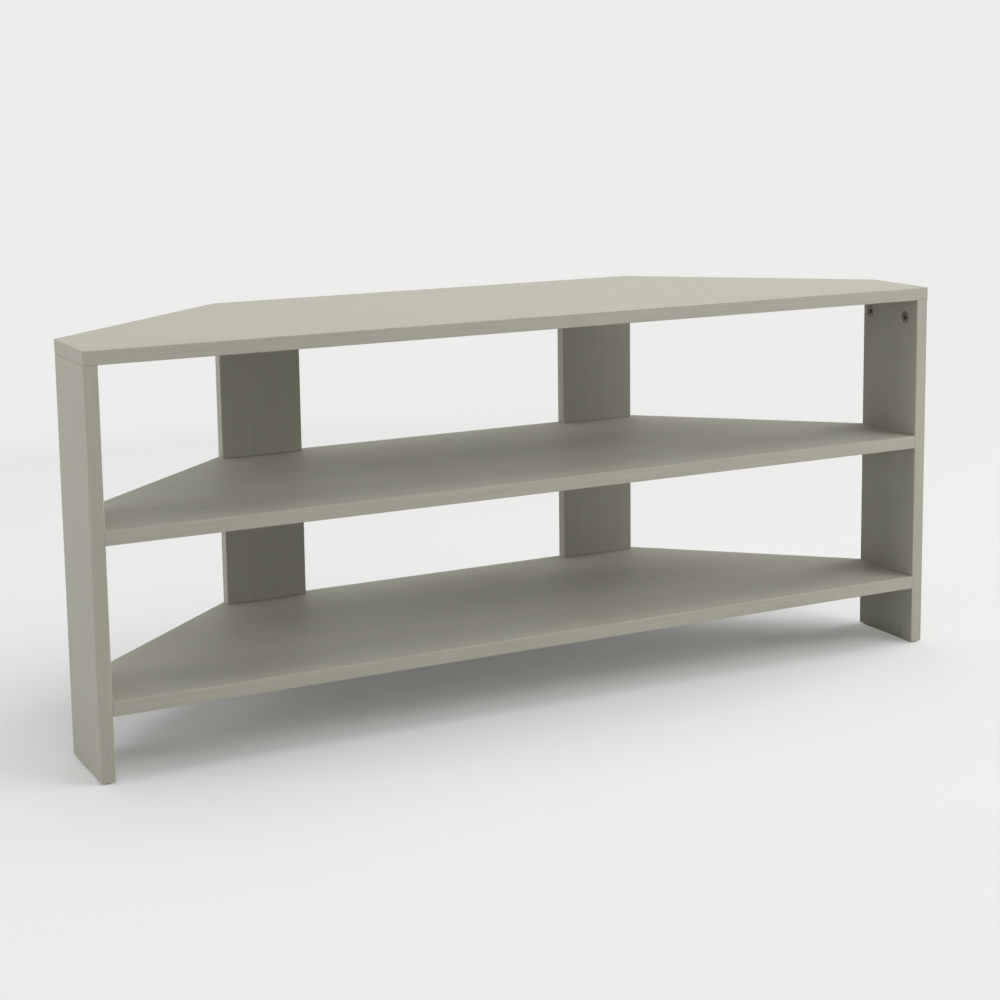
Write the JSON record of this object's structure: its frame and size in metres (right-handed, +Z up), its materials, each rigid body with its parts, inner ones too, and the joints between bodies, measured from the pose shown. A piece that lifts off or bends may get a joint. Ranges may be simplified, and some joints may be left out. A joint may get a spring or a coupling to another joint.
{
  "type": "corner television stand",
  "caption": "Open corner stand: a six-sided top and two six-sided shelves between full-height side panels, with rear posts at both ends of the back edge.",
  "frame": {"origin": "on the floor, under the middle of the stand's bounding box", "axes": "+X to the right as seen from the front, +Y from the front edge to the back edge, +Z up"},
  "size_m": [1.1, 0.334, 0.47],
  "materials": {
    "board": "particle board with a matt grey-beige melamine face and matching edge band",
    "cam": "die-cast zinc, dull",
    "bolt": "zinc-plated steel",
    "dowel": "fluted beech",
    "glide": "moulded polyethylene"
  },
  "bodies": {
    "root": {"top_board": "board", "middle_shelf": "board", "bottom_shelf": "board", "left_side_panel": "board", "right_side_panel": "board", "left_upper_post": "board", "right_upper_post": "board", "left_lower_post": "board", "right_lower_post": "board", "left_rear_foot": "board", "right_rear_foot": "board", "left_top_front_cam": "cam", "left_top_rear_cam": "cam", "left_middle_shelf_cam": "cam", "left_bottom_shelf_cam": "cam", "left_upper_post_top_cam": "cam", "left_upper_post_bottom_cam": "cam", "left_lower_post_top_cam": "cam", "left_lower_post_bottom_cam": "cam", "left_rear_foot_top_cam": "cam", "right_top_front_cam": "cam", "right_top_rear_cam": "cam", "right_middle_shelf_cam": "cam", "right_bottom_shelf_cam": "cam", "right_upper_post_top_cam": "cam", "right_upper_post_bottom_cam": "cam", "right_lower_post_top_cam": "cam", "right_lower_post_bottom_cam": "cam", "right_rear_foot_top_cam": "cam", "left_top_front_bolt": "bolt", "left_top_rear_bolt": "bolt", "left_middle_shelf_bolt": "bolt", "left_bottom_shelf_bolt": "bolt", "left_upper_post_bolt": "bolt", "left_middle_through_bolt": "bolt", "left_bottom_through_bolt": "bolt", "right_top_front_bolt": "bolt", "right_top_rear_bolt": "bolt", "right_middle_shelf_bolt": "bolt", "right_bottom_shelf_bolt": "bolt", "right_upper_post_bolt": "bolt", "right_middle_through_bolt": "bolt", "right_bottom_through_bolt": "bolt", "left_top_dowel": "dowel", "left_middle_shelf_dowel": "dowel", "left_bottom_shelf_dowel": "dowel", "left_upper_post_dowel": "dowel", "left_middle_through_dowel": "dowel", "left_bottom_through_dowel": "dowel", "right_top_dowel": "dowel", "right_middle_shelf_dowel": "dowel", "right_bottom_shelf_dowel": "dowel", "right_upper_post_dowel": "dowel", "right_middle_through_dowel": "dowel", "right_bottom_through_dowel": "dowel", "left_side_glide": "glide", "right_side_glide": "glide", "left_rear_glide": "glide", "right_rear_glide": "glide"}
  },
  "joints": []
}
